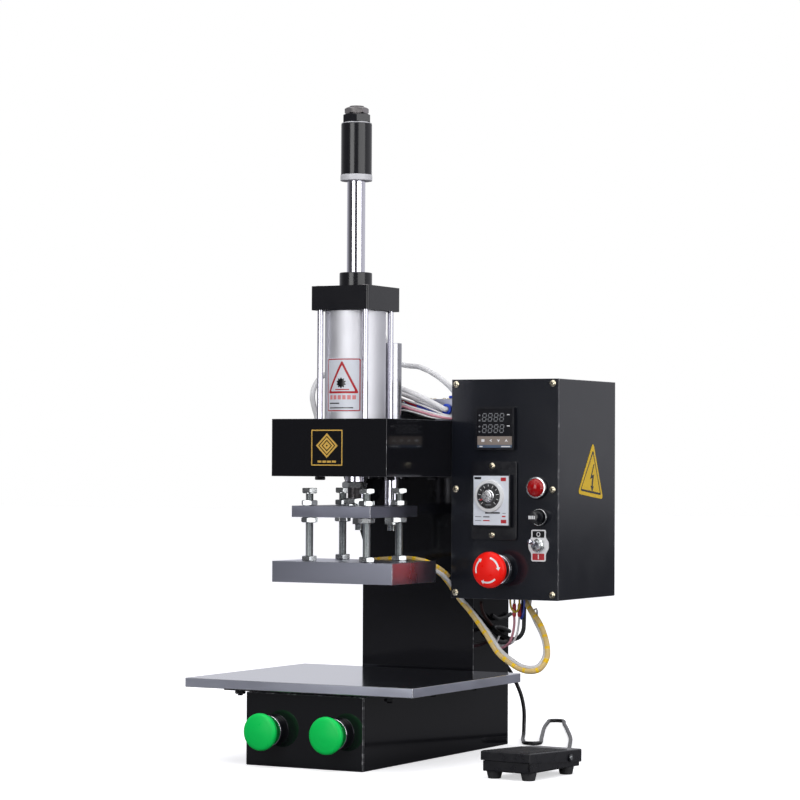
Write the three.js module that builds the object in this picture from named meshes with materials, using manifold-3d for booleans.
// Pneumatic hot foil stamper with a foot pedal, in millimetres.
// Origin: on the underside of the base, straight below the press axis.
// +X is the operator's right, +Y is the back of the machine, +Z is up.
import * as THREE from 'three';
import { mergeVertices } from 'three/addons/utils/BufferGeometryUtils.js';
import Module from 'manifold-3d';

const wasm = await Module();
wasm.setup();

// ---------------------------------------------------------------- driving sizes

const GAP = 0.3; // clearance between pieces that rest on each other
const FIT = 0.3; // radial clearance of a shaft in its hole

const BASE = { half: 72, front: -106.7, back: 236.8, top: 78.4, sheet: 2, floor: 3 };
const CARRIER = { half: 102, front: -104.7, back: 130, thick: 2.7 };
const TABLE = { half: 140, front: -122.6, back: 130.2, thick: 10 };
const COLUMN = { front: 147.1, wall: 4, gussetLow: 232, gussetFront: 100.5 };
const HEAD = { half: 71.7, front: -57.8, bottom: 310, top: 372.6, sheet: 3, plate: 12 };
const AIR = { cap: 36, low: 322.3, capHeight: 28, top: 518.1, topCap: 26.3, barrel: 33.5, wall: 2.2 };
const TIE = { offset: 28.3, radius: 3.3, end: 2 };
const GUIDE = { x: 20.6, y: 47, radius: 7.5, stud: 5, nut: 15, top: 457, tip: 250, bush: 10.4, bushTop: 458 };
const BOLT = { x: 35.8, y: 36.5, radius: 4.4, across: 16, nut: 5.7, headLow: 291.9, head: 5.4 };
const ROD = { radius: 10, stud: 8, tip: 266, shoulder: 304.5, upper: 641.5, top: 718 };
const SLEEVE = { radius: 17, low: 641.8, high: 698.3, ring: 17.6, ringHeight: 6.6 };
const RAM_PLATE = { half: 49, front: -52.5, back: 54.5, low: 265.6, high: 278 };
const HEAT_PLATE = { half: 75, depth: 50, low: 194.3, high: 217.3 };
const HEATER = { x: 55, radius: 5, depth: 86, standOut: 3 };
const BOX = { left: 72.3, right: 203.4, front: 91.6, back: 243.5, low: 175.2, high: 418.4, sheet: 2 };
const START = { x: 40.4, z: 38.5 };
const PEDAL = { x: 238, y: -43.2, yaw: -5, width: 60, length: 106 };
const CORD_RADIUS = 2.25;
const TUBE_RADIUS = 3;
const HARNESS_RADIUS = 3.5;

const TABLE_LOW = BASE.top + GAP + CARRIER.thick + GAP;
const HEAD_PLATE_TOP = HEAD.bottom + HEAD.plate;

// ---------------------------------------------------------------- materials

function material(color, roughness, metalness) {
  return new THREE.MeshStandardMaterial({ color, roughness, metalness });
}

const BLACK_PAINT = material(0x111216, 0.25, 0);
const POLISHED = material(0xb9c0cc, 0.15, 1);
const SATIN_ALUMINIUM = material(0xb4b6b8, 0.4, 1);
const CHROME = material(0xd8dadd, 0.08, 1);
const ZINC = material(0xbfc3c6, 0.3, 1);
const BLACK_ANODISED = material(0x18181a, 0.35, 0.5);
const BLACK_PLASTIC = material(0x1a1a1c, 0.5, 0);
const GREEN_PLASTIC = material(0x18b858, 0.4, 0);
const RED_PLASTIC = material(0xd8281c, 0.4, 0);
const WHITE_PLASTIC = material(0xe8e8e6, 0.5, 0);
const CLEAR_TUBE = material(0xdfe8ee, 0.3, 0);
const YELLOW_SLEEVE = material(0xe6c95a, 0.8, 0);

// ---------------------------------------------------------------- shape helpers

// One closed surface with shared vertices, no collapsed triangles and its faces pointing out.
function sealed(source) {
  const bare = source.index ? source.toNonIndexed() : source.clone();
  bare.deleteAttribute('normal');
  bare.deleteAttribute('uv');
  const merged = mergeVertices(bare, 1e-4);
  const index = merged.index.array;
  const position = merged.attributes.position;
  const [a, b, c] = [new THREE.Vector3(), new THREE.Vector3(), new THREE.Vector3()];
  const kept = [];
  let volume = 0;
  for (let i = 0; i < index.length; i += 3) {
    const [p, q, r] = [index[i], index[i + 1], index[i + 2]];
    if (p === q || q === r || r === p) continue;
    kept.push(p, q, r);
    a.fromBufferAttribute(position, p);
    b.fromBufferAttribute(position, q);
    c.fromBufferAttribute(position, r);
    volume += a.dot(b.cross(c));
  }
  merged.setIndex(volume < 0 ? kept.reverse() : kept);
  return merged;
}

function toSolid(geometry) {
  const closed = sealed(geometry);
  return new wasm.Manifold(new wasm.Mesh({
    numProp: 3,
    vertProperties: new Float32Array(closed.attributes.position.array),
    triVerts: new Uint32Array(closed.index.array),
  }));
}

function toGeometry(solid) {
  const mesh = solid.getMesh();
  const geometry = new THREE.BufferGeometry();
  geometry.setAttribute('position', new THREE.BufferAttribute(mesh.vertProperties, 3));
  geometry.setIndex(new THREE.BufferAttribute(mesh.triVerts, 1));
  return geometry;
}

function join(...geometries) {
  return toGeometry(geometries.map(toSolid).reduce((all, next) => all.add(next)));
}

function cut(body, ...tools) {
  return toGeometry(tools.map(toSolid).reduce((rest, tool) => rest.subtract(tool), toSolid(body)));
}

function block([x0, x1], [y0, y1], [z0, z1]) {
  const box = new THREE.BoxGeometry(x1 - x0, y1 - y0, z1 - z0);
  return box.translate((x0 + x1) / 2, (y0 + y1) / 2, (z0 + z1) / 2);
}

// A solid of revolution about +Z from [radius, height] pairs.
function turned(profile, sides = 24) {
  const points = profile.map(([radius, height]) => new THREE.Vector2(radius, height));
  return new THREE.LatheGeometry(points, sides).rotateX(Math.PI / 2);
}

// A solid of revolution about the Y axis from [radius, y] pairs, y growing towards the back.
function turnedBack(profile, sides = 24) {
  return new THREE.LatheGeometry(profile.map(([radius, y]) => new THREE.Vector2(radius, y)), sides);
}

function post(radius, low, high, x = 0, y = 0, sides = 24) {
  return turned([[0, low], [radius, low], [radius, high], [0, high]], sides).translate(x, y, 0);
}

function ring(inner, outer, low, high, sides = 32) {
  return turned([[inner, low], [outer, low], [outer, high], [inner, high], [inner, low]], sides);
}

function backPost(radius, front, back, x = 0, z = 0, sides = 24) {
  return turnedBack([[0, front], [radius, front], [radius, back], [0, back]], sides).translate(x, 0, z);
}

// A hexagon across two flats of the given size, along +Z; turn spins it about Z in degrees.
function hexagon(across, low, high, turn = 0) {
  const prism = turned([[0, low], [1, low], [1, high], [0, high]], 6);
  const corner = across / Math.sqrt(3);
  return prism.scale(corner, corner, 1).rotateZ(THREE.MathUtils.degToRad(turn));
}

function hexagonRing(across, bore, low, high, turn = 0) {
  return cut(hexagon(across, low, high, turn), post(bore, low - 1, high + 1));
}

// A tube along a smooth curve through the given points.
function tube(points, radius, sides, steps) {
  const curve = new THREE.CatmullRomCurve3(points.map((point) => new THREE.Vector3(...point)));
  const section = new THREE.Shape();
  for (let i = 0; i < sides; i++) {
    const angle = (2 * Math.PI * i) / sides;
    const corner = [radius * Math.cos(angle), radius * Math.sin(angle)];
    if (i === 0) section.moveTo(...corner);
    else section.lineTo(...corner);
  }
  section.closePath();
  return new THREE.ExtrudeGeometry(section, { extrudePath: curve, steps });
}

const machine = new THREE.Group();

function add(name, geometry, look, group = machine) {
  const mesh = new THREE.Mesh(sealed(geometry), look);
  mesh.name = name;
  group.add(mesh);
  return mesh;
}

// ---------------------------------------------------------------- base and table

const START_HOLE = 11;

function baseHousing() {
  const outside = block([-BASE.half, BASE.half], [BASE.front, BASE.back], [0, BASE.top]);
  const side = BASE.half - BASE.sheet;
  const inside = block(
    [-side, side],
    [BASE.front + BASE.sheet, BASE.back - BASE.sheet],
    [-1, BASE.top - BASE.sheet],
  );
  const holes = [-START.x, START.x].map((x) => (
    backPost(START_HOLE + FIT, BASE.front - 1, BASE.front + BASE.sheet + 1, x, START.z)
  ));
  return cut(outside, inside, ...holes);
}

function baseAndTable() {
  add('base_housing', baseHousing(), BLACK_PAINT);
  const inner = BASE.half - BASE.sheet - GAP;
  add('base_bottom_plate', block(
    [-inner, inner],
    [BASE.front + BASE.sheet + GAP, BASE.back - BASE.sheet - GAP],
    [0, BASE.floor],
  ), BLACK_PAINT);
  add('table_carrier', block(
    [-CARRIER.half, CARRIER.half],
    [CARRIER.front, CARRIER.back],
    [BASE.top + GAP, BASE.top + GAP + CARRIER.thick],
  ), BLACK_PAINT);
  add('work_table', block(
    [-TABLE.half, TABLE.half],
    [TABLE.front, TABLE.back],
    [TABLE_LOW, TABLE_LOW + TABLE.thick],
  ), POLISHED);
}

// ---------------------------------------------------------------- column and head

const GLAND = { x: 45, z: 97, thread: 6, across: 19, nut: 9 };

function column() {
  const low = BASE.top + GAP;
  const high = HEAD.bottom - GAP;
  const wall = COLUMN.wall;
  const outside = block([-BASE.half, BASE.half], [COLUMN.front, BASE.back], [low, high]);
  const inside = block(
    [-BASE.half + wall, BASE.half - wall],
    [COLUMN.front + wall, BASE.back - wall],
    [low - 1, high + 1],
  );
  const triangle = new THREE.Shape([
    new THREE.Vector2(COLUMN.front + wall, COLUMN.gussetLow - wall),
    new THREE.Vector2(COLUMN.gussetFront, high),
    new THREE.Vector2(COLUMN.front + wall, high),
  ]);
  const plate = new THREE.ExtrudeGeometry(triangle, { depth: wall, bevelEnabled: false });
  plate.rotateX(Math.PI / 2).rotateZ(Math.PI / 2);
  const gussets = [-BASE.half, BASE.half - wall].map((x) => plate.clone().translate(x, 0, 0));
  const hole = backPost(GLAND.thread + FIT, BASE.back - wall - 1, BASE.back + 1, GLAND.x, GLAND.z);
  return cut(join(cut(outside, inside), ...gussets), hole);
}

function headHousing() {
  const sheet = HEAD.sheet;
  const outside = block([-HEAD.half, HEAD.half], [HEAD.front, BASE.back], [HEAD.bottom, HEAD.top]);
  const inside = block(
    [-HEAD.half + sheet, HEAD.half - sheet],
    [HEAD.front + sheet, BASE.back - sheet],
    [HEAD.bottom - 1, HEAD.top - sheet],
  );
  const top = [HEAD.top - sheet - 1, HEAD.top + 1];
  const opening = AIR.cap + 1;
  const tubeSlot = block([-66, -30], [-12, 12], top);
  return cut(
    outside,
    inside,
    block([-opening, opening], [-opening, opening], top),
    tubeSlot,
    post(GUIDE.bush + FIT, ...top, -GUIDE.x, GUIDE.y),
    post(GUIDE.bush + FIT, ...top, GUIDE.x, GUIDE.y),
  );
}

function headPlate() {
  const side = HEAD.half - HEAD.sheet - GAP;
  const plate = block(
    [-side, side],
    [HEAD.front + HEAD.sheet + GAP, BASE.back - HEAD.sheet - GAP],
    [HEAD.bottom, HEAD_PLATE_TOP],
  );
  const through = [HEAD.bottom - 1, HEAD_PLATE_TOP + 1];
  return cut(
    plate,
    post(ROD.radius + FIT, ...through),
    post(GUIDE.bush + FIT, ...through, -GUIDE.x, GUIDE.y),
    post(GUIDE.bush + FIT, ...through, GUIDE.x, GUIDE.y),
  );
}

function columnAndHead() {
  add('column', column(), BLACK_PAINT);
  add('head_housing', headHousing(), BLACK_PAINT);
  add('head_plate', headPlate(), BLACK_PAINT);
  for (const [side, x] of [['left', -GUIDE.x], ['right', GUIDE.x]]) {
    const bush = ring(GUIDE.radius + FIT, GUIDE.bush, HEAD.bottom, GUIDE.bushTop);
    add(`guide_bush_${side}`, bush, CHROME).position.set(x, GUIDE.y, 0);
  }
}

// ---------------------------------------------------------------- air cylinder

function cylinderCap(low, high) {
  const cap = block([-AIR.cap, AIR.cap], [-AIR.cap, AIR.cap], [low, high]);
  const holes = [post(ROD.radius + FIT, low - 1, high + 1)];
  for (const x of [-TIE.offset, TIE.offset]) {
    for (const y of [-TIE.offset, TIE.offset]) {
      holes.push(post(TIE.radius + FIT, low - 1, high + 1, x, y, 12));
    }
  }
  return cut(cap, ...holes);
}

function airCylinder() {
  const topLow = AIR.top - AIR.topCap;
  const lowTop = AIR.low + AIR.capHeight;
  const bore = AIR.barrel - AIR.wall;
  add('cylinder_lower_cap', cylinderCap(AIR.low, lowTop), BLACK_ANODISED);
  add('cylinder_barrel', ring(bore, AIR.barrel, lowTop + GAP, topLow - GAP, 40), SATIN_ALUMINIUM);
  add('cylinder_upper_cap', cylinderCap(topLow, AIR.top), BLACK_ANODISED);
  const bushTop = 534;
  add('rod_bush', ring(ROD.radius + FIT, 18, AIR.top + GAP, bushTop), BLACK_ANODISED);
  let number = 0;
  for (const x of [-TIE.offset, TIE.offset]) {
    for (const y of [-TIE.offset, TIE.offset]) {
      number += 1;
      const bar = post(TIE.radius, AIR.low + TIE.end, AIR.top - TIE.end, 0, 0, 12);
      add(`tie_rod_${number}`, bar, CHROME).position.set(x, y, 0);
    }
  }
}

// ---------------------------------------------------------------- valve and air tubes

const VALVE = { left: 31, right: 71, front: 100, back: 126, high: 397 };
const COIL = { left: -1, front: 101.5, back: 124.5, high: 391 };
const PORT = { x: 62.5, z: 385.5, topY: 116, radius: 6.3, standOut: 4 };

function valveAndTubes() {
  const low = HEAD.top + GAP;
  const body = block([VALVE.left, VALVE.right], [VALVE.front, VALVE.back], [low, VALVE.high]);
  const coil = block([COIL.left, VALVE.left + 1], [COIL.front, COIL.back], [low, COIL.high]);
  const frontPort = backPost(PORT.radius, VALVE.front - PORT.standOut, VALVE.front + 1, PORT.x, PORT.z, 16);
  const topPort = post(PORT.radius, VALVE.high - 1, VALVE.high + PORT.standOut, PORT.x, PORT.topY, 16);
  add('solenoid_valve', join(body, coil, frontPort, topPort), POLISHED);
  // from the valve's top port, behind the cylinder, to the rear of the upper cap
  const extend = [
    [PORT.x, PORT.topY, VALVE.high + PORT.standOut + GAP],
    [PORT.x, PORT.topY, VALVE.high + PORT.standOut + 4],
    [58.5, 115, 410], [52, 113, 416.5], [43.5, 112, 422.8], [33, 111, 428.8],
    [20, 110, 434], [6, 110, 435.5], [-5, 107, 438.5], [-11, 97, 449], [-9, 78, 472], [-4, 57, 495],
    [0, 46, 505], [0, AIR.cap + GAP, 505],
  ];
  add('air_tube_extend', tube(extend, TUBE_RADIUS, 8, 36), CLEAR_TUBE);
  // from the valve's front port, around the cylinder's back left, down to the lower cap
  const retract = [
    [PORT.x, VALVE.front - PORT.standOut - GAP, PORT.z], [PORT.x, VALVE.front - PORT.standOut - 4, PORT.z],
    [56.5, 87.5, 389.6], [48.5, 84.5, 394.2], [38, 80.5, 399.6], [28.7, 76, 404], [18.7, 73, 408.1],
    [0, 68, 416], [-26, 63, 423], [-45, 41, 427], [-51, 15, 421], [-52.5, 1, 409], [-53, -2.5, 398],
    [-52, 0, 386], [-50, 3, 374], [-48, 2, 352], [-45, 0, 341], [-AIR.cap - 5, 0, 336],
    [-AIR.cap - GAP, 0, 336],
  ];
  add('air_tube_retract', tube(retract, TUBE_RADIUS, 8, 40), CLEAR_TUBE);
}

// ---------------------------------------------------------------- ram

const ROD_NUT = 24; // across the flats
const TOP_NUT = { across: 23, low: 709.1, high: 716.2 };
const LOCK_NUT = { across: 29.5, high: 708.8 };
const ram = new THREE.Group();
machine.add(ram);

function pistonRod() {
  return join(
    post(ROD.stud, ROD.tip, ROD.top),
    post(ROD.radius, ROD.shoulder - 1, ROD.upper),
    hexagon(ROD_NUT, ROD.shoulder - 7.5, ROD.shoulder),
    hexagon(TOP_NUT.across, TOP_NUT.low, TOP_NUT.high),
  );
}

function strokeSleeve() {
  const ringLow = SLEEVE.low - SLEEVE.ringHeight;
  const stud = ROD.stud + FIT;
  const shank = ROD.radius + FIT;
  return turned([
    [shank, ringLow], [SLEEVE.ring, ringLow], [SLEEVE.ring, SLEEVE.low], [SLEEVE.radius, SLEEVE.low],
    [SLEEVE.radius, SLEEVE.high], [stud, SLEEVE.high], [stud, SLEEVE.low], [shank, SLEEVE.low],
    [shank, ringLow],
  ], 32);
}

function ramPlate() {
  const plate = block(
    [-RAM_PLATE.half, RAM_PLATE.half],
    [RAM_PLATE.front, RAM_PLATE.back],
    [RAM_PLATE.low, RAM_PLATE.high],
  );
  const through = [RAM_PLATE.low - 1, RAM_PLATE.high + 1];
  const holes = [post(ROD.stud + FIT, ...through)];
  for (const x of [-1, 1]) {
    holes.push(post(GUIDE.stud + FIT, ...through, x * GUIDE.x, GUIDE.y));
    for (const y of [-1, 1]) holes.push(post(BOLT.radius + FIT, ...through, x * BOLT.x, y * BOLT.y, 16));
  }
  return cut(plate, ...holes);
}

const HEATER_Z = (HEAT_PLATE.low + HEAT_PLATE.high) / 2;
const BOLT_DEPTH = 12; // how far a levelling bolt reaches into the heating plate

function heatingPlate() {
  const plate = block(
    [-HEAT_PLATE.half, HEAT_PLATE.half],
    [-HEAT_PLATE.depth, HEAT_PLATE.depth],
    [HEAT_PLATE.low, HEAT_PLATE.high],
  );
  const holes = [];
  for (const x of [-1, 1]) {
    const boreFront = HEAT_PLATE.depth - HEATER.depth - GAP;
    holes.push(backPost(HEATER.radius + FIT, boreFront, HEAT_PLATE.depth + 1, x * HEATER.x, HEATER_Z, 16));
    for (const y of [-1, 1]) {
      const low = HEAT_PLATE.high - BOLT_DEPTH - GAP;
      holes.push(post(BOLT.radius + FIT, low, HEAT_PLATE.high + 1, x * BOLT.x, y * BOLT.y, 16));
    }
  }
  return cut(plate, ...holes);
}

function levellingBolt() {
  const nut = (low) => hexagon(BOLT.across, low, low + BOLT.nut, 30);
  return join(
    post(BOLT.radius, HEAT_PLATE.high - BOLT_DEPTH, BOLT.headLow + 1, 0, 0, 16),
    nut(HEAT_PLATE.high + GAP),
    nut(RAM_PLATE.low - GAP - BOLT.nut),
    nut(RAM_PLATE.high + GAP),
    hexagon(BOLT.across, BOLT.headLow, BOLT.headLow + BOLT.head, 30),
  );
}

function guideRod() {
  const nutHeight = 8.8;
  return join(
    post(GUIDE.stud, GUIDE.tip, RAM_PLATE.high + 2),
    post(GUIDE.radius, RAM_PLATE.high + GAP, GUIDE.top),
    hexagon(GUIDE.nut, RAM_PLATE.low - GAP - nutHeight, RAM_PLATE.low - GAP, 30),
  );
}

function ramAssembly() {
  add('piston_rod', pistonRod(), CHROME, ram);
  const bore = AIR.barrel - AIR.wall;
  add('piston', ring(ROD.radius + FIT, bore - GAP, 468, 486, 40), BLACK_PLASTIC, ram);
  add('stroke_sleeve', strokeSleeve(), BLACK_ANODISED, ram);
  const lockNut = hexagonRing(LOCK_NUT.across, ROD.stud + FIT, SLEEVE.high + GAP, LOCK_NUT.high, 30);
  add('stroke_lock_nut', lockNut, BLACK_ANODISED, ram);
  const ramNut = hexagonRing(ROD_NUT, ROD.stud + FIT, RAM_PLATE.high + GAP, 286.3, 30);
  add('ram_nut', ramNut, ZINC, ram);
  add('ram_plate', ramPlate(), POLISHED, ram);
  add('heating_plate', heatingPlate(), POLISHED, ram);
  let number = 0;
  for (const [side, x] of [['left', -1], ['right', 1]]) {
    add(`guide_rod_${side}`, guideRod(), CHROME, ram).position.set(x * GUIDE.x, GUIDE.y, 0);
    const heater = backPost(
      HEATER.radius,
      HEAT_PLATE.depth - HEATER.depth,
      HEAT_PLATE.depth + HEATER.standOut,
      x * HEATER.x,
      HEATER_Z,
      16,
    );
    add(`heater_cartridge_${side}`, heater, ZINC, ram);
    for (const y of [-1, 1]) {
      number += 1;
      add(`levelling_bolt_${number}`, levellingBolt(), ZINC, ram).position.set(x * BOLT.x, y * BOLT.y, 0);
    }
  }
}

// ---------------------------------------------------------------- heater harness

function heaterHarness() {
  const start = HEAT_PLATE.depth + HEATER.standOut + GAP;
  add('heater_harness', tube([
    [HEATER.x, start, HEATER_Z], [HEATER.x, start + 4.5, HEATER_Z], [57.5, 72, 208.5], [62, 83, 203.5],
    [65, 97, 193], [65.5, 113, 181], [67.5, 124, 171], [80, 125, 157.6], [99.4, 122, 135.9],
    [119.2, 116, 113.8], [136.7, 110, 104.1], [148.8, 108, 98.4], [161.5, 108, 95.8], [172, 112, 98.2],
    [177.9, 118, 109.6], [176.9, 122, 121.4], [169.7, 128, 137.4], [160.6, 134, 149.4],
    [149, 141, 159.5], [139.5, 147.5, 168], [137, 150, BOX.low - 3], [137, 150, BOX.low - GAP],
  ], HARNESS_RADIUS, 8, 48), YELLOW_SLEEVE);
}

// ---------------------------------------------------------------- control box
// Panel fittings are made round their own centre, with y = 0 at the cover's front face.

const COVER_THICK = 2;
const PANEL = {
  thermostat: { x: 128, z: 364 },
  timer: { x: 126.4, z: 284.2 },
  lamp: { x: 178.6, z: 298.7 },
  fuse: { x: 181.5, z: 266.4 },
  toggle: { x: 180.4, z: 235.3 },
  stop: { x: 133.3, z: 208.4 },
};
const PANEL_HOLE = { button: 11, fuse: 6, toggle: 5.7, square: 22.2, timerHalf: [22, 29] };

const panel = new THREE.Group();
panel.position.set(0, BOX.front, 0);
machine.add(panel);

function controlBox() {
  const sheet = BOX.sheet;
  const front = BOX.front + COVER_THICK + GAP;
  const outside = block([BOX.left, BOX.right], [front, BOX.back], [BOX.low, BOX.high]);
  const inside = block(
    [BOX.left + sheet, BOX.right - sheet],
    [front - 1, BOX.back - sheet],
    [BOX.low + sheet, BOX.high - sheet],
  );
  const cableHole = post(9, BOX.low - 1, BOX.low + sheet + 1, 137, 150);
  const wiringHole = post(9, BOX.low - 1, BOX.low + sheet + 1, 118, 150);
  return cut(outside, inside, cableHole, wiringHole);
}

function controlCover() {
  const depth = [-1, COVER_THICK + 1];
  const round = (radius, { x, z }) => backPost(radius + FIT, ...depth, x, z);
  const square = (halfX, halfZ, { x, z }) => block(
    [x - halfX - GAP, x + halfX + GAP],
    depth,
    [z - halfZ - GAP, z + halfZ + GAP],
  );
  return cut(
    block([BOX.left, BOX.right], [0, COVER_THICK], [BOX.low, BOX.high]),
    square(PANEL_HOLE.square, PANEL_HOLE.square, PANEL.thermostat),
    square(...PANEL_HOLE.timerHalf, PANEL.timer),
    round(PANEL_HOLE.button, PANEL.lamp),
    round(PANEL_HOLE.fuse, PANEL.fuse),
    round(PANEL_HOLE.toggle, PANEL.toggle),
    round(PANEL_HOLE.button, PANEL.stop),
  );
}

function addToPanel(name, geometry, look, { x, z }, group = panel) {
  add(name, geometry, look, group).position.set(x, 0, z);
}

function temperatureController() {
  const half = 24;
  const body = PANEL_HOLE.square;
  return join(
    block([-half, half], [-5, -GAP], [-half, half]),
    block([-body, body], [-1, 78], [-body, body]),
  );
}

const TIMER_FRONT = -10;
const TIMER_DIAL = { x: -2.1, z: 4.9, radius: 13.9 };

function timerBody() {
  const [halfX, halfZ] = PANEL_HOLE.timerHalf;
  return join(
    block([-28, 28], [-3, -GAP], [-43.4, 43.4]),
    block([-23, 23], [TIMER_FRONT, -1], [-29.5, 29.5]),
    block([-halfX, halfX], [-2, 66], [-halfZ, halfZ]),
  );
}

function timerKnob() {
  const dial = TIMER_FRONT - GAP;
  return turnedBack([
    [0, dial], [TIMER_DIAL.radius, dial], [TIMER_DIAL.radius, dial - 2], [5.4, dial - 2.4],
    [5, dial - 7.1], [0, dial - 7.1],
  ]);
}

function pilotLamp() {
  return turnedBack([
    [0, -10.5], [4, -10.2], [8, -9], [10.6, -6.5], [11, -3], [12.6, -3], [12.6, -GAP],
    [PANEL_HOLE.button, -GAP], [PANEL_HOLE.button, 24], [0, 24],
  ]);
}

function fuseHolder() {
  const stem = 3.4;
  return turnedBack([
    [stem, -3], [10, -3], [10, -GAP], [PANEL_HOLE.fuse, -GAP], [PANEL_HOLE.fuse, 34],
    [stem, 34], [stem, -3],
  ]);
}

function fuseCap() {
  return turnedBack([[0, -20], [6, -20], [7, -18.5], [7, -3.3], [3.1, -3.3], [3.1, 28], [0, 28]]);
}

const TOGGLE_PIVOT = -1.5;
const TOGGLE_TILT = 13; // the lever rests this far above square to the panel

function toggleSwitch() {
  const bushing = PANEL_HOLE.toggle;
  const nut = hexagon(14, GAP, 2.7).rotateX(Math.PI / 2);
  const body = join(
    nut,
    backPost(bushing, -9, COVER_THICK + 2),
    block([-8, 8], [COVER_THICK + GAP, 26], [-14, 14]),
  );
  return cut(body, backPost(4.6, -10, COVER_THICK + 2));
}

function toggleLever() {
  const lever = turnedBack([
    [0, 2.6], [2.2, 1.4], [2.6, 0], [1.7, -2], [1.8, -9], [2.9, -20], [2.4, -22.6], [0, -23.4],
  ], 16);
  return lever.rotateX(THREE.MathUtils.degToRad(-TOGGLE_TILT)).translate(0, TOGGLE_PIVOT, 0);
}

// A button body that clamps to its panel: a collar in front, a barrel behind, bored for the stem.
function buttonBody(collarFront, collarRadius, depth) {
  const stem = 6 + FIT;
  return turnedBack([
    [stem, collarFront], [collarRadius - 1, collarFront], [collarRadius, collarFront + 1],
    [collarRadius, -GAP], [START_HOLE, -GAP], [START_HOLE, depth], [stem, depth], [stem, collarFront],
  ]);
}

function stopButton() {
  const bore = 6 + FIT;
  return turnedBack([
    [bore, -29], [bore, -20], [14, -20], [19, -22.5], [20, -25.5], [19.4, -28.5], [16, -31.5],
    [9, -33.4], [0, -34], [0, -29], [bore, -29],
  ], 32);
}

function mushroomButton() {
  return turnedBack([
    [0, 20], [6, 20], [6, -15], [13, -15.5], [19, -19], [20, -22], [19.2, -24.6], [15, -26.6],
    [8, -27.7], [0, -28],
  ], 32);
}

function controlPanel() {
  add('control_box', controlBox(), BLACK_PAINT);
  add('control_cover', controlCover(), BLACK_PAINT, panel);
  addToPanel('temperature_controller', temperatureController(), BLACK_PLASTIC, PANEL.thermostat);
  addToPanel('timer_body', timerBody(), WHITE_PLASTIC, PANEL.timer);
  const dial = { x: PANEL.timer.x + TIMER_DIAL.x, z: PANEL.timer.z + TIMER_DIAL.z };
  addToPanel('timer_knob', timerKnob(), BLACK_PLASTIC, dial);
  addToPanel('pilot_lamp', pilotLamp(), RED_PLASTIC, PANEL.lamp);
  addToPanel('fuse_holder', fuseHolder(), BLACK_PLASTIC, PANEL.fuse);
  addToPanel('fuse_cap', fuseCap(), BLACK_PLASTIC, PANEL.fuse);
  addToPanel('toggle_switch', toggleSwitch(), ZINC, PANEL.toggle);
  addToPanel('toggle_lever', toggleLever(), CHROME, PANEL.toggle);
  addToPanel('estop_body', buttonBody(-12, 15, 40), BLACK_PLASTIC, PANEL.stop);
  addToPanel('estop_plunger', backPost(6, -28.7, 30), ZINC, PANEL.stop);
  addToPanel('estop_button', stopButton(), RED_PLASTIC, PANEL.stop);
  add('solid_state_relay', block(
    [110, 155],
    [BOX.back - BOX.sheet - GAP - 22, BOX.back - BOX.sheet - GAP],
    [190, 248],
  ), WHITE_PLASTIC);
}

function startButtons() {
  const front = new THREE.Group();
  front.position.set(0, BASE.front, 0);
  machine.add(front);
  for (const [side, x] of [['left', -START.x], ['right', START.x]]) {
    const place = { x, z: START.z };
    addToPanel(`start_body_${side}`, buttonBody(-9, 16.5, 34), BLACK_PLASTIC, place, front);
    addToPanel(`start_button_${side}`, mushroomButton(), GREEN_PLASTIC, place, front);
  }
}

// ---------------------------------------------------------------- pedal
// The pedal group's origin is on the floor under the middle of the treadle, toe end towards -Y.

const pedal = new THREE.Group();
pedal.position.set(PEDAL.x, PEDAL.y, 0);
pedal.rotation.z = THREE.MathUtils.degToRad(PEDAL.yaw);
machine.add(pedal);

const PIN = { y: 28, z: 18.2, radius: 2 };
const TRAY = { half: 28, end: 51, low: 8, high: 19, sheet: 2 };
const TREADLE = { toeTop: 29, heelTop: 25.8, toeSkirt: 19.4, heelSkirt: 12.2, sheet: 1.5 };
const CORD_ENTRY = { x: 8, z: 14.5 };

// A post across the pedal, along the X axis.
function crossPost(radius, x0, x1, y, z) {
  return post(radius, x0, x1, 0, 0, 16).rotateY(Math.PI / 2).translate(0, y, z);
}

function pedalBase() {
  const wall = TRAY.sheet;
  const tray = cut(
    block([-TRAY.half, TRAY.half], [-TRAY.end, TRAY.end], [TRAY.low, TRAY.high]),
    block(
      [-TRAY.half + wall, TRAY.half - wall],
      [-TRAY.end + wall, TRAY.end - wall],
      [TRAY.low + wall, TRAY.high + 1],
    ),
  );
  const lugs = [-TRAY.half, TRAY.half - wall].map((x) => (
    block([x, x + wall], [PIN.y - 6, PIN.y + 6], [TRAY.low + 1, PIN.z + 4.5])
  ));
  const feet = [];
  for (const x of [-22, 22]) {
    for (const y of [-39, 34]) feet.push(post(7.5, 0, TRAY.low + 1, x, y, 16));
  }
  const pinHole = crossPost(PIN.radius + FIT, -TRAY.half - 1, TRAY.half + 1, PIN.y, PIN.z);
  const cordHole = backPost(
    CORD_RADIUS + 1,
    TRAY.end - wall - 1,
    TRAY.end + 1,
    CORD_ENTRY.x,
    CORD_ENTRY.z,
    12,
  );
  return cut(join(tray, ...lugs, ...feet), pinHole, cordHole);
}

// The treadle's side outline, as wide as asked, shrunk by an inset at the toe and the top.
function treadleBlock(half, inset, heelEnd, skirtDrop) {
  const end = PEDAL.length / 2;
  const outline = new THREE.Shape([
    new THREE.Vector2(-end + inset, TREADLE.toeSkirt - skirtDrop),
    new THREE.Vector2(heelEnd, TREADLE.heelSkirt - skirtDrop),
    new THREE.Vector2(heelEnd, TREADLE.heelTop - inset),
    new THREE.Vector2(-end + inset, TREADLE.toeTop - inset),
  ]);
  const solid = new THREE.ExtrudeGeometry(outline, { depth: 2 * half, bevelEnabled: false });
  return solid.rotateX(Math.PI / 2).rotateZ(Math.PI / 2).translate(-half, 0, 0);
}

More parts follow.
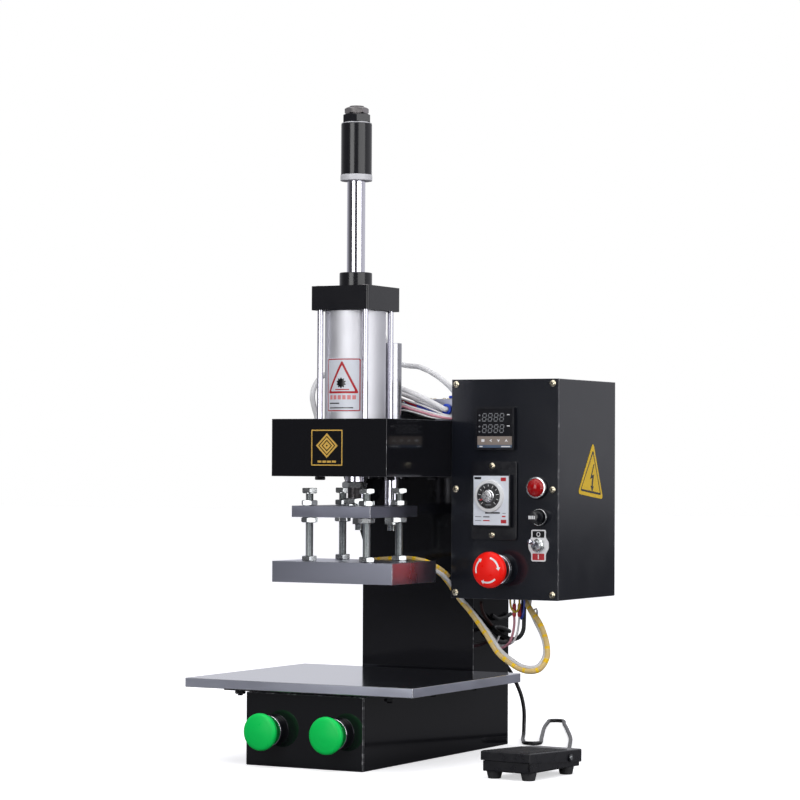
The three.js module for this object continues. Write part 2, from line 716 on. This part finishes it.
function pedalTreadle() {
  const half = PEDAL.width / 2;
  const end = PEDAL.length / 2;
  return cut(
    treadleBlock(half, 0, end, 0),
    treadleBlock(half - TREADLE.sheet, TREADLE.sheet, end + 1, 1),
    crossPost(PIN.radius + FIT, -half - 1, half + 1, PIN.y, PIN.z),
  );
}

function footPedal() {
  const half = PEDAL.width / 2;
  add('pedal_base', pedalBase(), BLACK_PAINT, pedal);
  add('pedal_treadle', pedalTreadle(), BLACK_PLASTIC, pedal);
  const head = half + GAP;
  add('pedal_pin', join(
    crossPost(PIN.radius, -head - 1, head + 1, PIN.y, PIN.z),
    crossPost(4, -head - 1.8, -head, PIN.y, PIN.z),
    crossPost(4, head, head + 1.8, PIN.y, PIN.z),
  ), ZINC, pedal);
  add('pedal_switch', block([-10, 10], [-22, 8], [TRAY.low + TRAY.sheet + GAP, 19]), BLACK_PLASTIC, pedal);
}

// ---------------------------------------------------------------- pedal cord

const GLAND_END = 252;

function cordGland() {
  const body = join(
    backPost(GLAND.thread, BASE.back - 10, BASE.back + 2),
    hexagon(GLAND.across, -BASE.back - 6, -BASE.back - GAP).rotateX(Math.PI / 2),
    turnedBack([
      [0, BASE.back + 5], [GLAND.nut, BASE.back + 5], [GLAND.nut, 248], [6, GLAND_END], [0, GLAND_END],
    ]),
  );
  const bored = cut(body, backPost(CORD_RADIUS + FIT, BASE.back - 11, GLAND_END - 5, 0, 0, 12));
  return bored.translate(GLAND.x, 0, GLAND.z);
}

function pedalCord() {
  add('cord_gland', cordGland(), BLACK_PLASTIC);
  pedal.updateMatrix();
  const entry = new THREE.Vector3(CORD_ENTRY.x, TRAY.end + GAP, CORD_ENTRY.z).applyMatrix4(pedal.matrix);
  const entryLead = new THREE.Vector3(CORD_ENTRY.x, TRAY.end + 5, CORD_ENTRY.z).applyMatrix4(pedal.matrix);
  const floor = CORD_RADIUS + 0.2;
  // out of the gland, down to the floor behind the column, one long loose loop, then to the pedal
  add('pedal_cord', tube([
    [GLAND.x, GLAND_END + GAP, GLAND.z], [GLAND.x, GLAND_END + 8, GLAND.z - 0.5], [46.5, 273, 92],
    [49, 287, 81], [52.5, 297, 66], [57, 302, 50], [59.5, 304, 33], [60, 303, 16], [62, 298, 6],
    [66, 288, floor], [82, 257, floor], [90.4, 241.4, floor], [96.1, 237, floor], [103.2, 238, floor],
    [107.5, 243.6, floor], [106.6, 250.7, floor], [84, 301, floor], [61, 352, floor], [38, 403, floor],
    [19, 448, floor], [5, 484, floor], [-1.1, 499, floor], [-1.1, 506.1, floor], [4, 511.1, floor],
    [11.1, 511.1, floor], [16.1, 506, floor], [31, 476, floor], [52, 437, floor], [74, 395, floor],
    [97, 351, floor], [118, 309, floor], [134, 274, floor], [164, 207, floor], [184, 163, floor],
    [206, 110, floor], [229, 58, floor + 1], [246, 26, 8], entryLead.toArray(), entry.toArray(),
  ], CORD_RADIUS, 8, 80), BLACK_PLASTIC);
}

baseAndTable();
columnAndHead();
airCylinder();
valveAndTubes();
ramAssembly();
heaterHarness();
controlPanel();
startButtons();
footPedal();
pedalCord();

export default machine;
